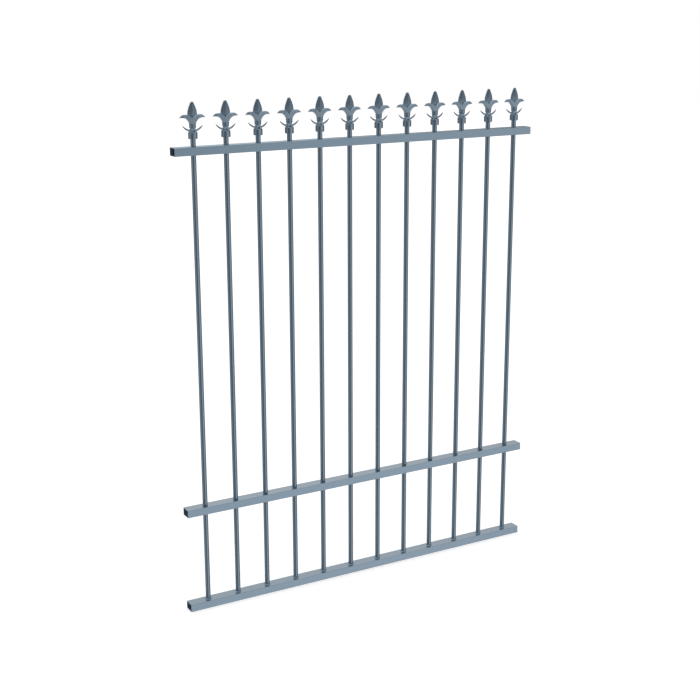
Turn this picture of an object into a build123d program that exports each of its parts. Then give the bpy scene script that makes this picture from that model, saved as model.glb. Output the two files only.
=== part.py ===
from build123d import *
import os

# Pool fence panel, in millimetres. X runs along the rails, -Y is the front, +Z is up.
# The origin is on the underside of the bottom rail, at the middle of its length and depth.

# Rails: three lengths of the same hollow rectangular tube
RAIL_LENGTH = 1300.0
RAIL_DEPTH = 38.0
RAIL_HEIGHT = 25.0
RAIL_WALL = 1.6
RAIL_CORNER = 1.0
RAIL_INNER_CORNER = 0.4
MIDDLE_RAIL_UNDERSIDE = 325.0
TOP_RAIL_UNDERSIDE = 1466.0

# Pickets: round tubes at one pitch, set a little to the right of the rails' middle
PICKET_COUNT = 12
PICKET_PITCH = 106.75
PICKET_DIAMETER = 16.0
PICKET_WALL = 1.2
LEFT_OVERHANG = 67.2
PUNCH_CLEARANCE = 0.2

# Fillet welds between a picket and its rail
WELD_LEG = 2.5

# Finials: one casting over the top of each picket
FINIAL_FOOT = 1514.0
COLLAR_DIAMETER = 28.4
COLLAR_HEIGHT = 20.3
COLLAR_FOOT_EDGE = 0.8
COLLAR_SHOULDER = 2.4
SOCKET_DEPTH = 15.0
SOCKET_CLEARANCE = 0.1
NECK_RADIUS = 8.1
NECK_FOOT = 30.5
BEAD_RADIUS = 10.5
BEAD_HEIGHT = 6.6
BEAD_EDGE = 1.6
BEAD_FOOT = 32.2
THROAT_HEIGHT = 3.6
THROAT_TOP_RADIUS = 5.0
SPEAR_HEIGHT = 108.4

# The bell between collar and neck: flat at the front and the back, with a pointed arch in each
BELL_DEPTH = 14.6
BELL_EDGE = 1.5
BELL_FOOT = (11.4, 19.0)
BELL_FLANK = (8.3, 24.6)
BELL_TOP = (6.6, 31.5)
ARCH_WIDTH = 9.8
ARCH_HEIGHT = 5.7
ARCH_CORE_RADIUS = 4.6

# Outline of the right thorn seen from the front: distance from the axis, height over the foot
THORN_TIP = (32.2, 39.6)
THORN_LOWER_ROOT = (0.0, 20.5)
THORN_LOWER_MIDDLE = (20.5, 25.9)
THORN_UPPER_ROOT = (0.0, 27.5)
THORN_UPPER_MIDDLE = (20.0, 31.0)

# How deep the thorns are from front to back, at the axis and at their tips
THORN_DEPTH = 8.0
THORN_TIP_DEPTH = 1.4

# Their sides bulge: this far along, half their depth is this share of the depth at the axis
BULGE_PLACE = 0.62
BULGE_SHARE = 0.4

# Sections of the right leaf from root to tip: its keel and its crest, each as distance from the axis and height
# over the foot, then its half depth and how far up from keel to crest its front and back stay flat
LEAF_SECTIONS = (
    (7.4, 43.6, -0.5, 43.9, 6.8, 0.9),
    (9.0, 46.2, -0.5, 51.6, 6.8, 0.9),
    (11.3, 50.4, -0.5, 59.6, 6.8, 0.88),
    (14.8, 55.0, 5.0, 65.2, 6.8, 0.8),
    (20.4, 59.6, 11.5, 70.4, 6.8, 0.8),
    (25.4, 61.3, 23.0, 71.6, 6.2, 0.88),
    (31.6, 62.2, 31.2, 70.3, 5.0, 0.88),
    (36.8, 62.5, 36.8, 66.4, 3.2, 0.88),
    (40.2, 62.0, 40.4, 63.1, 1.4, 0.88),
)
CREST_SHOULDER = 0.7

# The block that joins the leaves' roots: half its outline from its foot to its peak, and its half depth
ROOT_BLOCK = ((6.0, 44.2), (9.5, 51.0), (7.0, 54.5), (0.0, 58.8))
ROOT_BLOCK_HALF_DEPTH = 6.7

# The spear: height over the foot, half width, half depth at its ridge, half depth at its edges
SPEAR_SECTIONS = (
    (44.0, 4.0, 4.6, 1.2),
    (54.0, 5.5, 5.4, 1.3),
    (60.0, 7.0, 5.8, 1.4),
    (65.0, 9.8, 6.0, 1.5),
    (69.5, 14.0, 6.2, 1.5),
    (74.0, 14.9, 6.4, 1.5),
    (80.0, 14.3, 6.2, 1.5),
    (90.0, 11.6, 5.2, 1.5),
    (100.0, 7.7, 3.8, 1.3),
    (105.5, 5.2, 2.8, 1.1),
    (SPEAR_HEIGHT, 2.7, 1.5, 0.8),
)

# Grub screws in the backs of the collars
SCREW_DIAMETER = 5.0
SCREW_LENGTH = 5.6
SCREW_THREAD_CLEARANCE = 0.05
SCREW_HEIGHT = 8.0
HEX_ACROSS_FLATS = 2.5
HEX_DEPTH = 2.5

PICKET_RADIUS = PICKET_DIAMETER / 2
COLLAR_RADIUS = COLLAR_DIAMETER / 2
PICKET_FOOT = RAIL_WALL
PICKET_TOP = FINIAL_FOOT + SOCKET_DEPTH
PICKET_PLACES = [-RAIL_LENGTH / 2 + LEFT_OVERHANG + PICKET_PITCH * i for i in range(PICKET_COUNT)]


def rail(underside, punched_through):
    """A hollow rail along X with a round hole for every picket."""
    outside = RectangleRounded(RAIL_DEPTH, RAIL_HEIGHT, RAIL_CORNER)
    inside = RectangleRounded(
        RAIL_DEPTH - 2 * RAIL_WALL, RAIL_HEIGHT - 2 * RAIL_WALL, RAIL_INNER_CORNER
    )
    tube = extrude(Plane.YZ * (outside - inside), RAIL_LENGTH / 2, both=True)
    hole_foot = -RAIL_HEIGHT if punched_through else 0
    punch = Cylinder(
        PICKET_RADIUS + PUNCH_CLEARANCE,
        RAIL_HEIGHT - hole_foot,
        align=(Align.CENTER, Align.CENTER, Align.MIN),
    )
    tube -= [Pos(x, 0, hole_foot) * punch for x in PICKET_PLACES]
    return Pos(0, 0, underside + RAIL_HEIGHT / 2) * tube


def picket(x):
    """A round tube from the floor of the bottom rail to the roof of the finial's socket."""
    section = Circle(PICKET_RADIUS) - Circle(PICKET_RADIUS - PICKET_WALL)
    return extrude(Pos(x, 0, PICKET_FOOT) * section, PICKET_TOP - PICKET_FOOT)


def weld_bead(x, z, rises):
    """A fillet weld round a picket, on top of a rail or under it."""
    leg = WELD_LEG if rises else -WELD_LEG
    corner = (PICKET_RADIUS, z)
    outer = (PICKET_RADIUS + WELD_LEG, z)
    end = (PICKET_RADIUS, z + leg)
    outline = Polyline(end, corner, outer, close=True)
    return Pos(x, 0, 0) * revolve(Plane.XZ * make_face(outline), Axis.Z)


def weld_beads(z, rises):
    return Compound(children=[weld_bead(x, z, rises) for x in PICKET_PLACES])


def turned_stem():
    """The finial's round parts: socket collar, neck, double bead and throat."""
    collar = Pos(0, 0, COLLAR_HEIGHT / 2) * Cylinder(COLLAR_RADIUS, COLLAR_HEIGHT)
    rims = collar.edges().filter_by(GeomType.CIRCLE).sort_by(Axis.Z)
    collar = fillet(rims[0], COLLAR_FOOT_EDGE)
    rims = collar.edges().filter_by(GeomType.CIRCLE).sort_by(Axis.Z)
    collar = fillet(rims[-1], COLLAR_SHOULDER)
    bead_top = BEAD_FOOT + 2 * BEAD_HEIGHT
    neck_height = bead_top - NECK_FOOT
    neck = Pos(0, 0, NECK_FOOT + neck_height / 2) * Cylinder(NECK_RADIUS, neck_height)
    throat = Pos(0, 0, bead_top + THROAT_HEIGHT / 2) * Cone(NECK_RADIUS, THROAT_TOP_RADIUS, THROAT_HEIGHT)
    stem = collar + bell() + neck + throat
    for foot in (BEAD_FOOT, BEAD_FOOT + BEAD_HEIGHT):
        bead = Pos(0, 0, foot + BEAD_HEIGHT / 2) * Cylinder(BEAD_RADIUS, BEAD_HEIGHT)
        stem += fillet(bead.edges().filter_by(GeomType.CIRCLE), BEAD_EDGE)
    return stem


def bell():
    """The flat, flared skirt over the collar, with a pointed arch at the front and the back."""
    right = ThreePointArc(BELL_FOOT, BELL_FLANK, BELL_TOP)
    left = ThreePointArc(*[(-x, z) for x, z in (BELL_FOOT, BELL_FLANK, BELL_TOP)])
    across = [Line((-x, z), (x, z)) for x, z in (BELL_FOOT, BELL_TOP)]
    skirt = extrude(Plane.XZ * make_face(right + left + across), BELL_DEPTH / 2, both=True)
    flanks = skirt.edges().filter_by(GeomType.CIRCLE)
    skirt = fillet(flanks, BELL_EDGE)
    half = ARCH_WIDTH / 2
    apex = (0, COLLAR_HEIGHT + ARCH_HEIGHT)
    outline = Polyline((-half, COLLAR_HEIGHT), (half, COLLAR_HEIGHT), apex, close=True)
    wedge = extrude(Plane.XZ * make_face(outline), BELL_DEPTH, both=True)
    core = Pos(0, 0, COLLAR_HEIGHT + ARCH_HEIGHT) * Cylinder(ARCH_CORE_RADIUS, 4 * ARCH_HEIGHT)
    return skirt - (wedge - core)


def both_sides(half):
    return half + mirror(half, about=Plane.YZ)


def tapered_slab(outline, depth, tip_depth, tip_x):
    """An outline in XZ given a depth in Y that narrows from the axis to its tip."""
    slab = extrude(Plane.XZ * outline, depth, both=True)
    edge = [(0, depth / 2), (BULGE_PLACE * tip_x, BULGE_SHARE * depth), (tip_x, tip_depth / 2)]
    back = ThreePointArc(*edge)
    front = ThreePointArc(*[(x, -y) for x, y in edge])
    sides = Line(edge[0], (0, -depth / 2)) + Line(edge[2], (tip_x, -tip_depth / 2))
    plan = make_face(back + front + sides)
    return slab & extrude(plan, 2 * SPEAR_HEIGHT)


def leaf():
    """The right leaf: it rises from the throat, turns out and droops to its tip, with a rounded crest."""
    sections = []
    for keel_x, keel_z, crest_x, crest_z, half_depth, flat in LEAF_SECTIONS:
        keel = Vector(keel_x, 0, keel_z)
        rise = Vector(crest_x, 0, crest_z) - keel
        shoulder = flat + (1 - flat) * CREST_SHOULDER
        half = [(half_depth, 0), (half_depth, flat), (CREST_SHOULDER * half_depth, shoulder)]
        outline = half + [(0, 1)] + [(-y, up) for y, up in reversed(half)]
        corners = [keel + rise * up + Vector(0, y, 0) for y, up in outline]
        sections.append(make_face(Polyline(*corners, close=True)))
    return split(loft(sections), bisect_by=Plane.YZ, keep=Keep.TOP)


def root_block():
    """Fills the groove between the roots of the two leaves, up to the notch that the spear rises from."""
    left = [(-x, z) for x, z in reversed(ROOT_BLOCK[:-1])]
    outline = make_face(Polyline(*ROOT_BLOCK, *left, close=True))
    return extrude(Plane.XZ * outline, ROOT_BLOCK_HALF_DEPTH, both=True)


def thorn():
    """The right thorn, which curves out from the bell and up to a point."""
    lower = ThreePointArc(THORN_LOWER_ROOT, THORN_LOWER_MIDDLE, THORN_TIP)
    upper = ThreePointArc(THORN_TIP, THORN_UPPER_MIDDLE, THORN_UPPER_ROOT)
    outline = make_face(lower + upper + Line(THORN_UPPER_ROOT, THORN_LOWER_ROOT))
    return tapered_slab(outline, THORN_DEPTH, THORN_TIP_DEPTH, THORN_TIP[0])


def spear():
    """A flat blade with a ridge down its front and its back, and narrow flat edges."""
    sections = []
    for z, half_width, ridge, edge in SPEAR_SECTIONS:
        half = [(half_width, -edge), (half_width, edge), (0, ridge)]
        corners = half + [(-x, -y) for x, y in half]
        sections.append(Pos(0, 0, z) * make_face(Polyline(*corners, close=True)))
    return loft(sections)


def finial():
    """One casting, with its foot at Z = 0 and the picket's axis on Z."""
    casting = turned_stem() + both_sides(thorn()) + both_sides(leaf()) + root_block() + spear()
    socket = Cylinder(
        PICKET_RADIUS + SOCKET_CLEARANCE, SOCKET_DEPTH, align=(Align.CENTER, Align.CENTER, Align.MIN)
    )
    screw_hole = Cylinder(
        SCREW_DIAMETER / 2, COLLAR_RADIUS, align=(Align.CENTER, Align.CENTER, Align.MIN)
    )
    return casting - socket - Pos(0, 0, SCREW_HEIGHT) * Rot(-90, 0, 0) * screw_hole


def set_screw(x):
    """A grub screw whose flat point bears on the picket and whose hex socket faces the back."""
    shank = Cylinder(
        SCREW_DIAMETER / 2 - SCREW_THREAD_CLEARANCE,
        SCREW_LENGTH,
        align=(Align.CENTER, Align.CENTER, Align.MIN),
    )
    hexagon = RegularPolygon(HEX_ACROSS_FLATS / 2, 6, major_radius=False)
    shank -= extrude(Pos(0, 0, SCREW_LENGTH - HEX_DEPTH) * hexagon, HEX_DEPTH)
    return Pos(x, PICKET_RADIUS, FINIAL_FOOT + SCREW_HEIGHT) * Rot(-90, 0, 0) * shank


def main():
    os.makedirs("parts", exist_ok=True)
    nodes = {
        "bottom_rail": rail(0, punched_through=False),
        "middle_rail": rail(MIDDLE_RAIL_UNDERSIDE, punched_through=True),
        "top_rail": rail(TOP_RAIL_UNDERSIDE, punched_through=True),
        "bottom_rail_weld_beads": weld_beads(RAIL_HEIGHT, rises=True),
        "middle_rail_weld_beads": weld_beads(MIDDLE_RAIL_UNDERSIDE, rises=False),
        "top_rail_weld_beads": weld_beads(TOP_RAIL_UNDERSIDE, rises=False),
        "finial_set_screws": Compound(children=[set_screw(x) for x in PICKET_PLACES]),
    }
    casting = finial()
    for number, x in enumerate(PICKET_PLACES, start=1):
        nodes[f"picket_{number:02d}"] = picket(x)
        nodes[f"finial_{number:02d}"] = Pos(x, 0, FINIAL_FOOT) * casting
    for name, shape in nodes.items():
        export_step(shape, f"parts/{name}.step")


main()
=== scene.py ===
import math
import bmesh
import bpy
from mathutils import Matrix, Vector


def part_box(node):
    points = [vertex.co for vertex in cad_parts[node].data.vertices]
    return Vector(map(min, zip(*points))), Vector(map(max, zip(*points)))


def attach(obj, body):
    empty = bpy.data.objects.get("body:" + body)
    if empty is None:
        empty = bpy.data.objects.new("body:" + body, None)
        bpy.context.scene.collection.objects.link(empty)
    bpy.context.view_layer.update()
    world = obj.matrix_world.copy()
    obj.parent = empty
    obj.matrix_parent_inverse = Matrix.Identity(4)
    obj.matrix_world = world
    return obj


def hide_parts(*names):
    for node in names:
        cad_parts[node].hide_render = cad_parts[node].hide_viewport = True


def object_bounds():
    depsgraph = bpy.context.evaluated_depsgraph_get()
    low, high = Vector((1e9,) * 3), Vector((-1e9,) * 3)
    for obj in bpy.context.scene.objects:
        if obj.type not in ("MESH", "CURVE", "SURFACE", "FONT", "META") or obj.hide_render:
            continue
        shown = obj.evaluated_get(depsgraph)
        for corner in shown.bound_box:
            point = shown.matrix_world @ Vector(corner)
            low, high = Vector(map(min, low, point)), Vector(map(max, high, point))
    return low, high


# A tubular fence panel with round pickets, three hollow rails and cast spear finials.
# The frame is in metres. The finial is modelled in millimetres over its own foot and then set in place.
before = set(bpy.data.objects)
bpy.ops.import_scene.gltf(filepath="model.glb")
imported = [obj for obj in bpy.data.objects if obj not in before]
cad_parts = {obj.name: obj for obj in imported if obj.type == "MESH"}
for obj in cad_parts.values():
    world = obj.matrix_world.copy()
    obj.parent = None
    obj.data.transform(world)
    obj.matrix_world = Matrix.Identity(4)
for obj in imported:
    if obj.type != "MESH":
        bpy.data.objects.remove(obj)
cad_low, cad_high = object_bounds()
scene = bpy.context.scene
MM = 0.001
FULL_TURN = 360.0

# Sizes and places that the frame gives
RAIL_NODES = ("bottom_rail", "middle_rail", "top_rail")
PICKET_NODES = sorted(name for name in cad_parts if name.startswith("picket_"))
FINIAL_NODES = sorted(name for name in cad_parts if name.startswith("finial_") and name[-1].isdigit())
PICKET_LOW, PICKET_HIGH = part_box(PICKET_NODES[0])
PICKET_RADIUS = (PICKET_HIGH.x - PICKET_LOW.x) / 2
PICKET_PLACES = [(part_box(name)[0].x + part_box(name)[1].x) / 2 for name in PICKET_NODES]
PICKET_PITCH = PICKET_PLACES[1] - PICKET_PLACES[0]
FINIAL_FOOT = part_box(FINIAL_NODES[0])[0].z

# The pickets' tubes, and the steps round them and everything else that is turned
PICKET_WALL = 1.2 * MM
ROUND_STEPS = 96

# The fillet welds. Their legs wander in waves: share, waves round the picket, start.
WELD_LEG = 2.4 * MM
WELD_BULGE = 0.35 * MM
WELD_SUNK = 0.1 * MM
WELD_STEPS = 8
WELD_RIPPLES = 22
WELD_RIPPLE_DEPTH = 0.07
WELD_RIPPLE_MIDDLE = 0.6
WELD_WANDER = 0.7
WELD_WAVES = ((0.6, 2, 0.0), (0.4, 3, 1.0))

# The finial's turned stem, in millimetres over its foot
COLLAR_RADIUS = 14.2
COLLAR_HEIGHT = 20.3
COLLAR_FOOT_EDGE = 0.8
COLLAR_FOOT_STEPS = 4
COLLAR_SHOULDER = 2.4
COLLAR_SHOULDER_STEPS = 8
SOCKET_RADIUS = 8.1
SOCKET_DEPTH = 15.0
SOCKET_LEAD = 0.6
CORE_RADIUS = 4.6
CORE_TOP = 29.5
WAIST_RADIUS = 8.0
WAIST_HEIGHT = 31.8
BEAD_FOOT = 32.2
BEAD_HEIGHT = 6.6
BEAD_ROOT_RADIUS = 8.2
BEAD_RADIUS = 10.5
BEAD_FULLNESS = 0.25
BEAD_STEPS = 12
THROAT_RADIUS = 7.6
THROAT_TOP = 49.0
THROAT_TOP_RADIUS = 5.0

# The flat bell between collar and waist, with an arch in its rim at the front and the back
BELL_TOP_SIZE = (7.2, 6.2)
BELL_FOOT_SIZE = (11.9, 6.2)
BELL_FOOT = 19.0
BELL_TOP = 32.0
BELL_FLARE = 1.7
BELL_FLATNESS = 0.2
BELL_WALL = 1.7
BELL_ARCH_HEIGHT = 7.0
BELL_ARCH_HALF_WIDTH = 5.4
BELL_ARCH_ROUNDNESS = 1.6
BELL_STEPS = 14

# The right thorn from root to tip: centre line across and up, half thickness, half depth
THORN_STATIONS = (
    (-1.0, 26.8, 4.0, 5.0),
    (4.5, 25.8, 3.8, 5.0),
    (9.0, 24.8, 3.3, 4.6),
    (14.0, 25.4, 2.85, 4.1),
    (19.5, 27.9, 2.55, 3.5),
    (25.0, 31.8, 2.1, 2.9),
    (29.4, 35.9, 1.4, 2.1),
    (32.4, 39.6, 0.6, 1.1),
)
THORN_FLATNESS = 0.4
THORN_RINGS = 40
THORN_STEPS = 20

# The right leaf from root to tip: keel across and up, margin across and up, half depth, rise of its crown
LEAF_STATIONS = (
    (7.4, 43.6, -0.5, 43.6, 6.95, 0.0),
    (9.0, 46.2, -0.5, 51.0, 6.9, 0.0),
    (11.3, 50.4, -0.5, 58.0, 6.8, 2.4),
    (14.8, 55.0, 4.3, 62.2, 6.65, 3.4),
    (20.4, 59.6, 10.9, 67.9, 6.4, 2.4),
    (25.4, 61.3, 23.0, 70.8, 5.75, 0.7),
    (31.6, 62.2, 31.2, 69.8, 4.6, 0.6),
    (36.8, 62.5, 36.8, 66.0, 3.2, 0.4),
    (40.4, 62.0, 40.6, 63.0, 1.6, 0.1),
)
LEAF_EDGE = 1.2
LEAF_BEVEL = 0.45
LEAF_RINGS = 64
LEAF_KEEL_STEPS = 6
LEAF_FLANK_STEPS = 10
LEAF_CROWN_STEPS = 40

# The spear: height, half width, half depth at its ridge, half depth at its edges
SPEAR_STATIONS = (
    (44.0, 4.0, 4.6, 1.2),
    (54.0, 5.5, 5.4, 1.3),
    (60.0, 7.0, 5.8, 1.4),
    (65.0, 9.6, 6.0, 1.5),
    (69.5, 14.1, 6.2, 1.5),
    (72.5, 15.1, 6.3, 1.5),
    (75.0, 14.9, 6.4, 1.5),
    (80.0, 14.3, 6.3, 1.5),
    (85.0, 13.3, 6.0, 1.5),
    (90.0, 11.6, 5.6, 1.5),
    (95.0, 9.9, 5.1, 1.4),
    (100.0, 7.7, 4.4, 1.3),
    (104.0, 6.0, 3.7, 1.2),
    (107.0, 4.5, 2.8, 1.0),
    (108.8, 2.7, 1.7, 0.8),
)
SPEAR_RINGS = 72
SPEAR_SIDE_STEPS = 10

# The hole for the grub screw in the back of the collar
SCREW_HOLE_RADIUS = 2.5
SCREW_HOLE_HEIGHT = 8.0
SCREW_HOLE_LEAD = 0.5
SCREW_HOLE_LEAD_INSET = 0.1
SCREW_HOLE_INTO_SOCKET = 1.0
SCREW_HOLE_PAST_COLLAR = 2.0
SCREW_HOLE_STEPS = 32

# How the parts of a casting are blended into one skin
CASTING_GRAIN = 0.3
CASTING_SMOOTHING = 8
CASTING_SMOOTHING_FACTOR = 0.5
CASTING_SHARE_KEPT = 0.2
SHARP_ANGLE = math.radians(52)

# The metallic powder coat, under a clear one
COAT_DEEP = (0.127, 0.202, 0.276, 1.0)
COAT_LIGHT = (0.169, 0.260, 0.344, 1.0)
COAT_LIGHTNESS = 0.3
COAT_METALLIC = 0.80
CLOUD_SCALE = 9.0
CLOUD_DETAIL = 3.0
CLOUD_LIGHTNESS = 0.3
CLOUD_ROUGHNESS = 0.05
FLAKE_SCALE = 2600.0
FLAKE_LIGHTNESS = 0.12
PEEL_DETAIL = 2.0
CLEAR_ROUGHNESS = 0.12
CLEAR_IOR = 1.8

# The size and depth of the coat's peel, and its roughness, on tubes and on castings
TUBE_PEEL = (2.4 * MM, 0.004 * MM)
TUBE_ROUGHNESS = 0.20
CASTING_PEEL = (1.6 * MM, 0.005 * MM)
CASTING_ROUGHNESS = 0.24

# Deeper than this under its faces, a rail's tube has only a thin matt coat
BORE_INSET = 1.4 * MM
BORE_METALLIC = 0.5

# The screws' steel
STEEL_DEEP = (0.36, 0.37, 0.38, 1.0)
STEEL_LIGHT = (0.48, 0.49, 0.50, 1.0)
STEEL_GRAIN_SCALE = 3000.0
STEEL_GRAIN_DETAIL = 3.0
STEEL_ROUGHNESS = 0.28
STEEL_GRAIN_ROUGHNESS = 0.12

# The studio. Bearings are in degrees from straight in front of the fence, positive to its right, and
# heights are in degrees over the horizon. Two numbers are where a soft edge starts and ends, and four are
# two such edges. The next three count downwards: for the cards, the panels' sides and the panel behind.
LOW = (6.0, 26.0)
FOOT_OF_PANELS = (4.0, 22.0)
BACK_PANEL_TOP = (0.0, 14.0)

# Dark cards all round, lighter towards their top and their foot
CARD_LIGHT = 0.15
CARD_RISE = (-4.0, 16.0)
CARD_RISE_LIGHT = 0.08
LOW_CARD_LIGHT = 0.06

# The main panel, front right: brighter and taller along its slope, dimmer past a step, narrower at its foot
RIGHT_PANEL = (-32.0, 5.0, 40.0, 66.0)
RIGHT_PANEL_STEP = 0.68
RIGHT_PANEL_END = (80.0, 104.0)
RIGHT_PANEL_SLOPE = (5.0, 37.0)
RIGHT_PANEL_TOP = (-29.0, 15.0)
RIGHT_PANEL_LIFT = 15.3
RIGHT_PANEL_LEAN = 8.0
RIGHT_PANEL_LIGHT = 0.66
RIGHT_PANEL_GAIN = 0.27
RIGHT_PANEL_LOW_GAIN = 0.11

# A softer panel at the left, and a small one in front
LEFT_PANEL = (-128.0, -104.0, -84.0, -54.0)
LEFT_PANEL_LIGHT = 0.54
LEFT_PANEL_FADE = 0.2
FILL_PANEL = (0.0, 8.0, 10.0, 19.0)
FILL_BAND = (-15.0, -7.0, 0.0, 8.0)
FILL_LIGHT = 0.48

# A low panel behind, with a darker gap in it
BACK_PANEL = (112.0, 135.0, 208.0, 222.0)
BACK_PANEL_GAP = (146.0, 160.0, 200.0, 212.0)
BACK_PANEL_GAP_SHADE = 0.6
BACK_PANEL_LIGHT = 0.75

# The white sky over the cards, lower behind, with a dark card in it and a cool band along its foot there
BACK_BEARING = (95.0, 130.0)
FRONT_CARD_TOP = (28.0, 50.0)
BACK_CARD_TOP = (-6.0, 18.0)
BACK_CARD_STEP = 8.0
BACK_CARD_STEP_BEARING = (142.0, 158.0)
FRONT_SKY = 1.0
BACK_SKY = 0.87
HIGH_SKY = (30.0, 55.0)
HIGH_SKY_LIGHT = 0.35
HIGH_CARD = (160.0, 172.0, 188.0, 197.0)
HIGH_CARD_FOOT = (6.0, 18.0)
HIGH_CARD_SHADE = 0.5
COOL_BAND = (-8.0, 2.0, 9.0, 19.0)
COOL_SKY = (0.90, 1.05, 1.15, 1.0)
WHITE = (1.0, 1.0, 1.0, 1.0)
SOFT_LIGHT = 0.9

# The white floor
FLOOR_SIZE = 30.0
FLOOR_GAP = 0.2 * MM
FLOOR_COLOUR = (0.80, 0.80, 0.80, 1.0)
FLOOR_GLOW = 0.45

# The camera, in metres and degrees, with the photograph's frame a little off its axis
CAMERA_PLACE = (-2.09578, -3.62999, 1.93074)
CAMERA_TILT = 75.0
CAMERA_HEADING = -30.0
CAMERA_ANGLE = 30.0
CAMERA_SHIFT = (-0.01869, -0.00947)


class Value:
    """A node's output in a Python expression. Each operator adds one Math node."""

    def __init__(self, graph, socket):
        self.graph = graph
        self.socket = socket

    def of(self, output):
        """Another output of the same node."""
        return Value(self.graph, self.socket.node.outputs[output])

    def __add__(self, other):
        return self.graph.math("ADD", self, other)

    def __radd__(self, other):
        return self.graph.math("ADD", other, self)

    def __sub__(self, other):
        return self.graph.math("SUBTRACT", self, other)

    def __rsub__(self, other):
        return self.graph.math("SUBTRACT", other, self)

    def __mul__(self, other):
        return self.graph.math("MULTIPLY", self, other)

    def __rmul__(self, other):
        return self.graph.math("MULTIPLY", other, self)

    def __neg__(self):
        return self.graph.math("MULTIPLY", self, -1.0)

    def __abs__(self):
        return self.graph.math("ABSOLUTE", self)


class Graph:
    """A node tree that grows by one method, add, and by the few that use it."""

    def __init__(self, tree):
        self.tree = tree

    def add(self, kind, settings=None, inputs=None, output=0):
        """Adds a node: its settings first, then the values or links of its sockets."""
        node = self.tree.nodes.new(kind)
        for name, value in (settings or {}).items():
            setattr(node, name, value)
        for name, value in (inputs or {}).items():
            self.join(value, node.inputs[name])
        return Value(self, node.outputs[output]) if node.outputs else node

    def join(self, value, socket):
        """Links a value to a socket, or sets a plain number or colour there."""
        if isinstance(value, Value):
            self.tree.links.new(value.socket, socket)
        else:
            socket.default_value = value

    def math(self, operation, first, second=0.0):
        return self.add("ShaderNodeMath", {"operation": operation}, {0: first, 1: second})

    def mix(self, share, first, second):
        """A colour between two others."""
        sockets = {"Factor": share, "A": first, "B": second}
        return self.add("ShaderNodeMix", {"data_type": "RGBA"}, sockets, output="Result")

    def noise(self, place, scale, detail):
        return self.add("ShaderNodeTexNoise", {}, {"Vector": place, "Scale": scale, "Detail": detail})

    def rise(self, value, start, end):
        """A soft step from 0 at start to 1 at end."""
        settings = {"interpolation_type": "SMOOTHSTEP"}
        return self.add("ShaderNodeMapRange", settings, {"Value": value, "From Min": start, "From Max": end})

    def panel(self, value, edges):
        """1 between two soft edges and 0 outside them."""
        return self.rise(value, *edges[:2]) * (1 - self.rise(value, *edges[2:]))


def new_material(name):
    """A material, with its graph and its shader."""
    material = bpy.data.materials.new(name)
    material.use_nodes = True
    return material, Graph(material.node_tree), material.node_tree.nodes["Principled BSDF"]


def powder_coat(name, peel, roughness, bore=None):
    """A satin metallic coat: a fine peel on its skin, a faint cloudiness and small bright flakes.

    A rail's bore, given as its middle height, half depth and half height, has a thin matt coat.
    """
    coat, graph, shader = new_material(name)
    peel_size, peel_depth = peel
    place = graph.add("ShaderNodeTexCoord", output="Object")
    cloud = graph.noise(place, CLOUD_SCALE, CLOUD_DETAIL)
    relief = graph.noise(place, 1 / peel_size, PEEL_DETAIL)
    bumps = {"Height": relief, "Strength": 1.0, "Distance": peel_depth}
    bump = graph.add("ShaderNodeBump", {}, bumps, output="Normal")
    flake = graph.add("ShaderNodeTexVoronoi", {}, {"Vector": place, "Scale": FLAKE_SCALE}, output="Color")
    flake_light = graph.add("ShaderNodeSeparateColor", {}, {"Color": flake})
    lightness = COAT_LIGHTNESS + CLOUD_LIGHTNESS * cloud + FLAKE_LIGHTNESS * flake_light
    graph.join(graph.mix(lightness, COAT_DEEP, COAT_LIGHT), shader.inputs["Base Color"])
    graph.join(roughness + CLOUD_ROUGHNESS * cloud, shader.inputs["Roughness"])
    graph.join(bump, shader.inputs["Normal"])
    shader.inputs["Metallic"].default_value = COAT_METALLIC
    if bore:
        middle, half_depth, half_height = bore
        spot = graph.add("ShaderNodeSeparateXYZ", {}, {0: place})
        within_depth = graph.math("LESS_THAN", abs(spot.of("Y")), half_depth)
        within = within_depth * graph.math("LESS_THAN", abs(spot.of("Z") - middle), half_height)
        graph.join(COAT_METALLIC + (BORE_METALLIC - COAT_METALLIC) * within, shader.inputs["Metallic"])
    shader.inputs["Coat Weight"].default_value = 1.0
    shader.inputs["Coat Roughness"].default_value = CLEAR_ROUGHNESS
    shader.inputs["Coat IOR"].default_value = CLEAR_IOR
    return coat


def rail_coat(rail):
    """The tube coat, thin and matt inside the rail."""
    low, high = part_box(rail)
    bore = ((low.z + high.z) / 2, high.y - BORE_INSET, (high.z - low.z) / 2 - BORE_INSET)
    return powder_coat(f"{rail}_coat", TUBE_PEEL, TUBE_ROUGHNESS, bore)


def screw_steel():
    """Plain stainless steel with a fine grain."""
    steel, graph, shader = new_material("screw_steel")
    place = graph.add("ShaderNodeTexCoord", output="Object")
    grain = graph.noise(place, STEEL_GRAIN_SCALE, STEEL_GRAIN_DETAIL)
    graph.join(graph.mix(grain, STEEL_DEEP, STEEL_LIGHT), shader.inputs["Base Color"])
    graph.join(STEEL_ROUGHNESS + STEEL_GRAIN_ROUGHNESS * grain, shader.inputs["Roughness"])
    shader.inputs["Metallic"].default_value = 1.0
    return steel


def paint(node, material):
    """Gives a node of the frame a material."""
    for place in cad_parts[node].material_slots:
        place.material = material


def belongs(piece, slot, *nodes):
    """Ties a finished piece to the frame."""
    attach(piece, "root")
    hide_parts(*nodes)


def through(stations, count):
    """Points along a smooth line through given stations."""
    spans = len(stations) - 1
    points = []
    for i in range(count):
        place = i / (count - 1) * spans
        k = min(int(place), spans - 1)
        t = place - k
        around = (stations[max(k - 1, 0)], stations[k], stations[k + 1], stations[min(k + 2, spans)])
        points.append([catmull_rom(*numbers, t) for numbers in zip(*around)])
    return points


def catmull_rom(p, q, r, s, t):
    """A point from q to r on the smooth curve through p, q, r and s."""
    return q + 0.5 * t * (r - p + t * (2 * p - 5 * q + 4 * r - s + t * (3 * (q - r) + s - p)))


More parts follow.
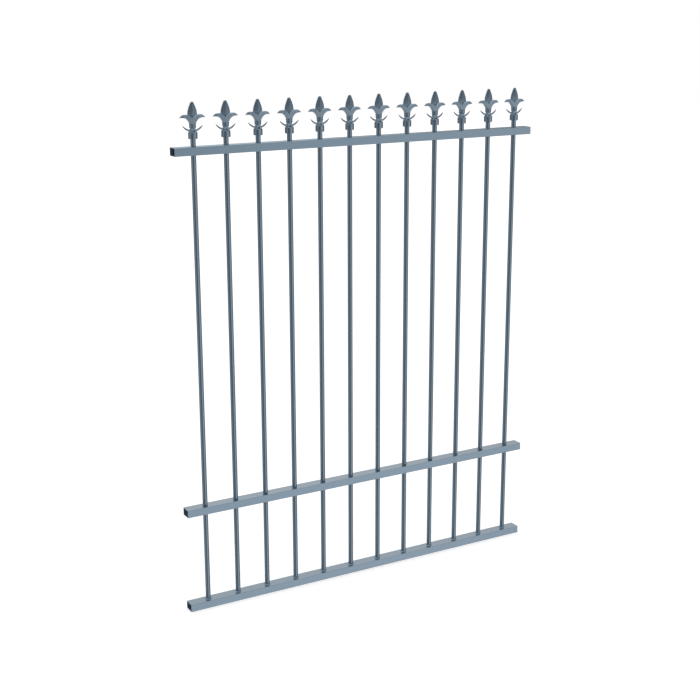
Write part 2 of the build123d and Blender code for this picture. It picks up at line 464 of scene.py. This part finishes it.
def eased(share, power):
    """A share from -1 to 1 raised to a power, with its sign kept."""
    return math.copysign(abs(share) ** power, share)


def arc(centre, radius, start, end, steps):
    """Points of an arc in a profile, with its angles in degrees."""
    turns = [math.radians(start + (end - start) * i / steps) for i in range(steps + 1)]
    return [(centre[0] + radius * math.cos(a), centre[1] + radius * math.sin(a)) for a in turns]


def ring(radius, height, steps=ROUND_STEPS):
    """A level ring of points about Z."""
    turns = [math.tau * i / steps for i in range(steps)]
    return [(radius * math.cos(a), radius * math.sin(a), height) for a in turns]


def skin(body, rings, joined=False):
    """Adds a closed skin over rings of points: end to end if joined, or else with a face over each end."""
    rows = [[body.verts.new(point) for point in points] for points in rings]
    pairs = list(zip(rows, rows[1:]))
    if joined:
        pairs.append((rows[-1], rows[0]))
    else:
        body.faces.new(rows[0])
        body.faces.new(rows[-1])
    for near, far in pairs:
        for i in range(len(near)):
            j = (i + 1) % len(near)
            body.faces.new((near[i], near[j], far[j], far[i]))


def piece_from(body, name):
    """Turns a bmesh into an object, with its faces outwards."""
    bmesh.ops.recalc_face_normals(body, faces=body.faces)
    mesh = bpy.data.meshes.new(name)
    body.to_mesh(mesh)
    body.free()
    piece = bpy.data.objects.new(name, mesh)
    scene.collection.objects.link(piece)
    return piece


def made_plain(piece):
    """Gives a piece the mesh that its modifiers make, and removes them."""
    depsgraph = bpy.context.evaluated_depsgraph_get()
    mesh = bpy.data.meshes.new_from_object(piece.evaluated_get(depsgraph))
    piece.modifiers.clear()
    piece.data = mesh
    mesh.shade_smooth()
    mesh.set_sharp_from_angle(angle=SHARP_ANGLE)
    return piece


def stem_rings():
    """Socket, collar, core, waist, two beads and throat, turned about the picket's axis."""
    foot = (COLLAR_RADIUS - COLLAR_FOOT_EDGE, COLLAR_FOOT_EDGE)
    shoulder = (COLLAR_RADIUS - COLLAR_SHOULDER, COLLAR_HEIGHT - COLLAR_SHOULDER)
    profile = [(SOCKET_RADIUS, SOCKET_DEPTH), (SOCKET_RADIUS, SOCKET_LEAD), (SOCKET_RADIUS + SOCKET_LEAD, 0)]
    profile += arc(foot, COLLAR_FOOT_EDGE, -90, 0, COLLAR_FOOT_STEPS)
    profile += arc(shoulder, COLLAR_SHOULDER, 0, 90, COLLAR_SHOULDER_STEPS)
    profile += [(CORE_RADIUS, COLLAR_HEIGHT), (CORE_RADIUS, CORE_TOP), (WAIST_RADIUS, WAIST_HEIGHT)]
    for foot_height in (BEAD_FOOT, BEAD_FOOT + BEAD_HEIGHT):
        for i in range(BEAD_STEPS + 1):
            turn = math.pi * i / BEAD_STEPS
            swell = max(math.sin(turn), 0.0) ** BEAD_FULLNESS
            radius = BEAD_ROOT_RADIUS + (BEAD_RADIUS - BEAD_ROOT_RADIUS) * swell
            profile.append((radius, foot_height + BEAD_HEIGHT * (1 - math.cos(turn)) / 2))
    profile += [(THROAT_RADIUS, BEAD_FOOT + 2 * BEAD_HEIGHT), (THROAT_TOP_RADIUS, THROAT_TOP)]
    return [ring(radius, height) for radius, height in profile]


def bell_size(height, inset):
    """The bell's half width and half depth at a height."""
    drop = max((BELL_TOP - height) / (BELL_TOP - BELL_FOOT), 0.0) ** BELL_FLARE
    return [top + (foot - top) * drop - inset for top, foot in zip(BELL_TOP_SIZE, BELL_FOOT_SIZE)]


def bell_rim(across):
    """The height of the bell's rim, arched at the front and the back."""
    share = min(abs(across) / BELL_ARCH_HALF_WIDTH, 1.0)
    return BELL_FOOT + BELL_ARCH_HEIGHT * (1 - share ** BELL_ARCH_ROUNDNESS)


def bell_rings():
    """Down the bell's outside to its rim, then up its inside."""
    down = [i / BELL_STEPS for i in range(BELL_STEPS + 1)]
    up = [1 - share for share in down]
    rings = []
    for shares, inset in ((down, 0.0), (up, BELL_WALL)):
        for share in shares:
            points = []
            for j in range(ROUND_STEPS):
                turn = math.tau * j / ROUND_STEPS
                across = eased(math.cos(turn), BELL_FLATNESS)
                front = eased(math.sin(turn), BELL_FLATNESS)
                height = BELL_TOP + (bell_rim(BELL_FOOT_SIZE[0] * across) - BELL_TOP) * share
                half_width, half_depth = bell_size(height, inset)
                points.append((half_width * across, half_depth * front, height))
            rings.append(points)
    return rings


def thorn_rings(side):
    """A horn of oval section that curves out and up to a blunt point."""
    path = through(THORN_STATIONS, THORN_RINGS)
    rings = []
    for i, (across, up, thick, deep) in enumerate(path):
        behind = path[max(i - 1, 0)]
        ahead = path[min(i + 1, len(path) - 1)]
        along = Vector((ahead[0] - behind[0], ahead[1] - behind[1])).normalized()
        points = []
        for j in range(THORN_STEPS):
            turn = math.tau * j / THORN_STEPS
            out = thick * eased(math.cos(turn), THORN_FLATNESS)
            front = deep * eased(math.sin(turn), THORN_FLATNESS)
            points.append((side * (across - along.y * out), front, up + along.x * out))
        rings.append(points)
    return rings


def leaf_rings(side):
    """A leaf that thins towards its tip, with a rounded keel and a crown bevelled to its two margins."""
    rings = []
    for keel_x, keel_z, margin_x, margin_z, deep, crown in through(LEAF_STATIONS, LEAF_RINGS):
        rise = Vector((margin_x - keel_x, margin_z - keel_z))
        edge = min(LEAF_EDGE, 0.5 * rise.length, 0.5 * deep)
        section = leaf_section(edge / deep, edge / rise.length)
        points = []
        for out, up in section:
            lift = crown * min((1 - abs(out)) / LEAF_BEVEL, 1.0) if up == 1 else 0.0
            points.append((side * (keel_x + rise.x * up), deep * out, keel_z + rise.y * up + lift))
        rings.append(points)
    return rings


def leaf_section(edge_out, edge_up):
    """Shares of the half depth, and of the way from keel to margin, once round a leaf."""
    flank = [(1.0, 1 - (1 - edge_up) * i / LEAF_FLANK_STEPS) for i in range(LEAF_FLANK_STEPS)]
    keel = []
    for i in range(LEAF_KEEL_STEPS + 1):
        turn = 0.5 * math.pi * i / LEAF_KEEL_STEPS
        keel.append((1 - edge_out * (1 - math.cos(turn)), edge_up * (1 - math.sin(turn))))
    front = flank + keel
    back = [(-out, up) for out, up in reversed(front)]
    top = [(-1 + 2 * i / LEAF_CROWN_STEPS, 1) for i in range(1, LEAF_CROWN_STEPS)]
    return front + back + top


def spear_rings():
    """A flat blade with a ridge down its front and back, and narrow flat edges."""
    rings = []
    for height, half_width, ridge, edge in through(SPEAR_STATIONS, SPEAR_RINGS):
        half = [(half_width, -edge), (half_width, edge), (0, ridge)]
        corners = half + [(-x, -y) for x, y in half]
        points = []
        for here, there in zip(corners, corners[1:] + corners[:1]):
            for j in range(SPEAR_SIDE_STEPS):
                share = j / SPEAR_SIDE_STEPS
                points.append((*(a + (b - a) * share for a, b in zip(here, there)), height))
        rings.append(points)
    return rings


def screw_hole_cutter():
    """The hole's shape along Y, with a small lead at the collar's face."""
    body = bmesh.new()
    face = COLLAR_RADIUS - SCREW_HOLE_LEAD_INSET
    profile = (
        (SCREW_HOLE_RADIUS, SOCKET_RADIUS - SCREW_HOLE_INTO_SOCKET),
        (SCREW_HOLE_RADIUS, face - SCREW_HOLE_LEAD),
        (SCREW_HOLE_RADIUS + SCREW_HOLE_LEAD, face),
        (SCREW_HOLE_RADIUS + SCREW_HOLE_LEAD, face + SCREW_HOLE_PAST_COLLAR),
    )
    rings = []
    for radius, out in profile:
        rings.append([(x, out, SCREW_HOLE_HEIGHT + z) for x, z, _ in ring(radius, 0, SCREW_HOLE_STEPS)])
    skin(body, rings)
    return piece_from(body, "screw_hole_cutter")


def finial_casting():
    """One casting, in millimetres over its foot: its parts blended into one skin."""
    body = bmesh.new()
    skin(body, stem_rings())
    skin(body, bell_rings())
    skin(body, spear_rings())
    for side in (-1, 1):
        skin(body, thorn_rings(side))
        skin(body, leaf_rings(side))
    casting = piece_from(body, "finial_casting")
    cutter = screw_hole_cutter()
    blend = casting.modifiers.new("blend", "REMESH")
    blend.mode = "VOXEL"
    blend.voxel_size = CASTING_GRAIN
    smooth = casting.modifiers.new("smooth", "SMOOTH")
    smooth.factor = CASTING_SMOOTHING_FACTOR
    smooth.iterations = CASTING_SMOOTHING
    thin = casting.modifiers.new("thin", "DECIMATE")
    thin.ratio = CASTING_SHARE_KEPT
    drill = casting.modifiers.new("drill", "BOOLEAN")
    drill.operation = "DIFFERENCE"
    drill.solver = "EXACT"
    drill.object = cutter
    made_plain(casting)
    bpy.data.objects.remove(cutter)
    return casting


def set_finials(coat):
    """Sets a copy of the casting over every picket."""
    casting = finial_casting()
    for number, x in enumerate(PICKET_PLACES, start=1):
        mesh = casting.data.copy()
        mesh.transform(Matrix.Translation((x, 0, FINIAL_FOOT)) @ Matrix.Scale(MM, 4))
        mesh.materials.append(coat)
        finial = bpy.data.objects.new(f"finial_casting_{number:02d}", mesh)
        scene.collection.objects.link(finial)
        belongs(finial, "powder_coat", f"finial_{number:02d}")
    bpy.data.objects.remove(casting)


def node_tree(name, inputs):
    """A Geometry Nodes tree with named inputs, and its group input."""
    tree = bpy.data.node_groups.new(name, "GeometryNodeTree")
    tree.interface.new_socket("Geometry", in_out="OUTPUT", socket_type="NodeSocketGeometry")
    for label, kind in inputs.items():
        tree.interface.new_socket(label, in_out="INPUT", socket_type="NodeSocket" + kind)
    graph = Graph(tree)
    return graph, graph.add("NodeGroupInput")


def ends_in(graph, geometry, coat):
    """The end of every tree: real geometry, in its coat."""
    real = graph.add("GeometryNodeRealizeInstances", {}, {"Geometry": geometry})
    painted = graph.add("GeometryNodeSetMaterial", {}, {"Geometry": real, "Material": coat})
    graph.add("NodeGroupOutput", {}, {"Geometry": painted})
    return graph.tree


def grown(name, tree, values):
    """A piece that a Geometry Nodes tree makes, as a plain mesh."""
    piece = bpy.data.objects.new(name, bpy.data.meshes.new(name))
    scene.collection.objects.link(piece)
    modifier = piece.modifiers.new(tree.name, "NODES")
    modifier.node_group = tree
    for item in tree.interface.items_tree:
        if item.in_out == "INPUT":
            modifier[item.identifier] = values[item.name]
    return made_plain(piece)


def picket_tree():
    """A round tube: the section of its wall, swept round the picket's axis."""
    inputs = {name: "Float" for name in ("Radius", "Wall", "Foot", "Top", "Place")}
    graph, sizes = node_tree("picket_tube", {**inputs, "Coat": "Material"})
    foot, top = sizes.of("Foot"), sizes.of("Top")
    wall = graph.add(
        "GeometryNodeCurvePrimitiveQuadrilateral", {}, {"Width": sizes.of("Wall"), "Height": top - foot}
    )
    middle_radius = sizes.of("Radius") - 0.5 * sizes.of("Wall")
    way_round = graph.add(
        "GeometryNodeCurvePrimitiveCircle", {}, {"Resolution": ROUND_STEPS, "Radius": middle_radius}
    )
    tube = graph.add("GeometryNodeCurveToMesh", {}, {"Curve": way_round, "Profile Curve": wall})
    place = graph.add("ShaderNodeCombineXYZ", {}, {"X": sizes.of("Place"), "Z": 0.5 * (foot + top)})
    stood = graph.add("GeometryNodeTransform", {}, {"Geometry": tube, "Translation": place})
    return ends_in(graph, stood, sizes.of("Coat"))


def set_pickets(coat):
    """Stands a tube at every picket's place."""
    tree = picket_tree()
    for number, x in enumerate(PICKET_PLACES, start=1):
        sizes = {
            "Radius": PICKET_RADIUS,
            "Wall": PICKET_WALL,
            "Foot": PICKET_LOW.z,
            "Top": PICKET_HIGH.z,
            "Place": x,
            "Coat": coat,
        }
        picket = grown(f"picket_tube_{number:02d}", tree, sizes)
        belongs(picket, "powder_coat", f"picket_{number:02d}")


def weld_bead():
    """One fillet weld round a picket, in ripples, rising from the rail's face at Z = 0."""
    body = bmesh.new()
    root = PICKET_RADIUS - WELD_SUNK
    rings = []
    for i in range(2 * ROUND_STEPS):
        turn = math.pi * i / ROUND_STEPS
        ripple = abs(math.sin(0.5 * WELD_RIPPLES * turn)) - WELD_RIPPLE_MIDDLE
        wander = sum(share * math.sin(waves * turn + start) for share, waves, start in WELD_WAVES)
        leg = WELD_LEG * (1 + WELD_RIPPLE_DEPTH * (ripple + WELD_WANDER * wander))
        outline = [(root, -WELD_SUNK)]
        for j in range(WELD_STEPS + 1):
            share = j / WELD_STEPS
            swell = WELD_BULGE * math.sin(math.pi * share)
            outline.append((root + leg * (1 - share) + swell, leg * share + swell - WELD_SUNK))
        rings.append([(r * math.cos(turn), r * math.sin(turn), z) for r, z in outline])
    skin(body, rings, joined=True)
    return piece_from(body, "weld_bead")


def weld_row_tree():
    """A row of weld beads, each turned to start at its own place."""
    inputs = {
        "Bead": "Object",
        "Count": "Int",
        "Pitch": "Float",
        "First": "Vector",
        "Lean": "Float",
        "Seed": "Int",
        "Coat": "Material",
    }
    graph, sizes = node_tree("weld_row", inputs)
    step = graph.add("ShaderNodeCombineXYZ", {}, {"X": sizes.of("Pitch")})
    line = {"Count": sizes.of("Count"), "Start Location": sizes.of("First"), "Offset": step}
    row = graph.add("GeometryNodeMeshLine", {}, line)
    bead = graph.add("GeometryNodeObjectInfo", {}, {"Object": sizes.of("Bead")}, output="Geometry")
    draw = {"Max": math.tau, "Seed": sizes.of("Seed")}
    start = graph.add("FunctionNodeRandomValue", {"data_type": "FLOAT"}, draw, output=1)
    turned = graph.add("ShaderNodeCombineXYZ", {}, {"X": sizes.of("Lean"), "Z": start})
    beads = graph.add(
        "GeometryNodeInstanceOnPoints", {}, {"Points": row, "Instance": bead, "Rotation": turned}
    )
    return ends_in(graph, beads, sizes.of("Coat"))


def set_welds(coat):
    """On top of the bottom rail, and under the other two."""
    tree = weld_row_tree()
    bead = weld_bead()
    for seed, rail in enumerate(RAIL_NODES, start=1):
        low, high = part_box(rail)
        on_top = rail == "bottom_rail"
        sizes = {
            "Bead": bead,
            "Count": len(PICKET_PLACES),
            "Pitch": PICKET_PITCH,
            "First": (PICKET_PLACES[0], 0.0, high.z if on_top else low.z),
            "Lean": 0.0 if on_top else math.pi,
            "Seed": seed,
            "Coat": coat,
        }
        welds = grown(f"{rail}_welds", tree, sizes)
        belongs(welds, "powder_coat", f"{rail}_weld_beads")
    bpy.data.objects.remove(bead)


def right_panel(graph, bearing, height, sunk):
    """The main panel, whose sides lean in where it is sunk under the horizon."""
    slope = graph.rise(bearing, *RIGHT_PANEL_SLOPE)
    lean = RIGHT_PANEL_LEAN * sunk
    step = RIGHT_PANEL_STEP + (1 - RIGHT_PANEL_STEP) * sunk
    across = 1 - step * graph.rise(bearing + lean, *RIGHT_PANEL[2:])
    across = across - (1 - step) * graph.rise(bearing, *RIGHT_PANEL_END)
    across = across * graph.rise(bearing - lean, *RIGHT_PANEL[:2])
    top = 1 - graph.rise(height - RIGHT_PANEL_LIFT * slope, *RIGHT_PANEL_TOP)
    return across * top * (RIGHT_PANEL_LIGHT + RIGHT_PANEL_GAIN * slope)


def back_panel(graph, full_bearing, height):
    """The low panel behind, on bearings that run right round."""
    gap = BACK_PANEL_GAP_SHADE * graph.panel(full_bearing, BACK_PANEL_GAP)
    across = graph.panel(full_bearing, BACK_PANEL) * (1 - gap)
    return BACK_PANEL_LIGHT * across * graph.rise(-height, *BACK_PANEL_TOP)


def cards_and_panels(graph, bearing, full_bearing, height):
    """The dark cards, and the light panels that stand before them."""
    low = graph.rise(-height, *LOW)
    sunk = graph.rise(-height, *FOOT_OF_PANELS)
    cards = CARD_LIGHT + CARD_RISE_LIGHT * graph.rise(height, *CARD_RISE) + LOW_CARD_LIGHT * low
    right = right_panel(graph, bearing, height, sunk) * (1 + RIGHT_PANEL_LOW_GAIN * low)
    left = LEFT_PANEL_LIGHT * graph.panel(bearing, LEFT_PANEL) * (1 - LEFT_PANEL_FADE * sunk)
    back = back_panel(graph, full_bearing, height)
    fill = FILL_LIGHT * graph.panel(bearing, FILL_PANEL) * graph.panel(height, FILL_BAND)
    return cards + right + left + back + fill


def mirrored_light(graph, bearing, height, behind):
    """What the coat mirrors: cards and panels, and the sky over them."""
    full_bearing = graph.math("FLOORED_MODULO", bearing, FULL_TURN)
    cards = cards_and_panels(graph, bearing, full_bearing, height)
    over_front = graph.rise(height, *FRONT_CARD_TOP)
    step = BACK_CARD_STEP * (1 - graph.rise(full_bearing, *BACK_CARD_STEP_BEARING))
    over_back = graph.rise(height - step, *BACK_CARD_TOP)
    over = over_front + behind * (over_back - over_front)
    sky = FRONT_SKY + behind * (BACK_SKY - FRONT_SKY) + HIGH_SKY_LIGHT * graph.rise(height, *HIGH_SKY)
    high_card = HIGH_CARD_SHADE * graph.panel(full_bearing, HIGH_CARD) * graph.rise(height, *HIGH_CARD_FOOT)
    return (cards + over * (sky - cards)) * (1 - high_card)


def studio():
    """White for the camera, plain soft light, and panels and dark cards for the coat to mirror."""
    world = bpy.data.worlds.new("studio")
    scene.world = world
    world.use_nodes = True
    world.cycles.sampling_method = "NONE"
    graph = Graph(world.node_tree)
    light = world.node_tree.nodes["Background"]
    way = graph.add("ShaderNodeSeparateXYZ", {}, {0: graph.add("ShaderNodeTexCoord", output="Generated")})
    bearing = graph.math("ARCTAN2", way.of("X"), -way.of("Y")) * math.degrees(1)
    height = graph.math("ARCSINE", way.of("Z")) * math.degrees(1)
    behind = graph.rise(abs(bearing), *BACK_BEARING)
    mirrored = mirrored_light(graph, bearing, height, behind)
    camera_ray = graph.add("ShaderNodeLightPath", output="Is Camera Ray")
    glossy = camera_ray.of("Is Glossy Ray")
    seen = graph.math("MAXIMUM", camera_ray + camera_ray.of("Is Transmission Ray"), glossy)
    strength = SOFT_LIGHT + seen * (1 - SOFT_LIGHT) + glossy * (mirrored - 1)
    graph.join(strength, light.inputs["Strength"])
    cool = glossy * behind * graph.panel(height, COOL_BAND)
    graph.join(graph.mix(cool, WHITE, COOL_SKY), light.inputs["Color"])


def white_floor():
    """A white floor that stays white to the camera and keeps the fence's soft shadow."""
    body = bmesh.new()
    bmesh.ops.create_grid(body, x_segments=1, y_segments=1, size=FLOOR_SIZE / 2)
    floor = piece_from(body, "floor")
    floor.data.transform(Matrix.Translation((0, 0, cad_low.z - FLOOR_GAP)))
    paper, graph, shader = new_material("white_sweep")
    shader.inputs["Base Color"].default_value = FLOOR_COLOUR
    shader.inputs["Roughness"].default_value = 1.0
    shader.inputs["Specular IOR Level"].default_value = 0.0
    shader.inputs["Emission Color"].default_value = WHITE
    camera_ray = graph.add("ShaderNodeLightPath", output="Is Camera Ray")
    seen = camera_ray + camera_ray.of("Is Glossy Ray") + camera_ray.of("Is Transmission Ray")
    graph.join(FLOOR_GLOW * seen, shader.inputs["Emission Strength"])
    floor.data.materials.append(paper)
    floor.visible_glossy = False


def camera():
    """The photograph's view."""
    lens = bpy.data.cameras.new("camera")
    lens.angle = math.radians(CAMERA_ANGLE)
    lens.shift_x, lens.shift_y = CAMERA_SHIFT
    viewer = bpy.data.objects.new("camera", lens)
    viewer.location = CAMERA_PLACE
    viewer.rotation_euler = (math.radians(CAMERA_TILT), 0.0, math.radians(CAMERA_HEADING))
    scene.collection.objects.link(viewer)
    scene.camera = viewer


scene.view_settings.view_transform = "Standard"
camera()
studio()
white_floor()
tube_coat = powder_coat("tube_coat", TUBE_PEEL, TUBE_ROUGHNESS)
casting_coat = powder_coat("casting_coat", CASTING_PEEL, CASTING_ROUGHNESS)
for rail in RAIL_NODES:
    paint(rail, rail_coat(rail))
paint("finial_set_screws", screw_steel())
set_pickets(tube_coat)
set_welds(casting_coat)
set_finials(casting_coat)
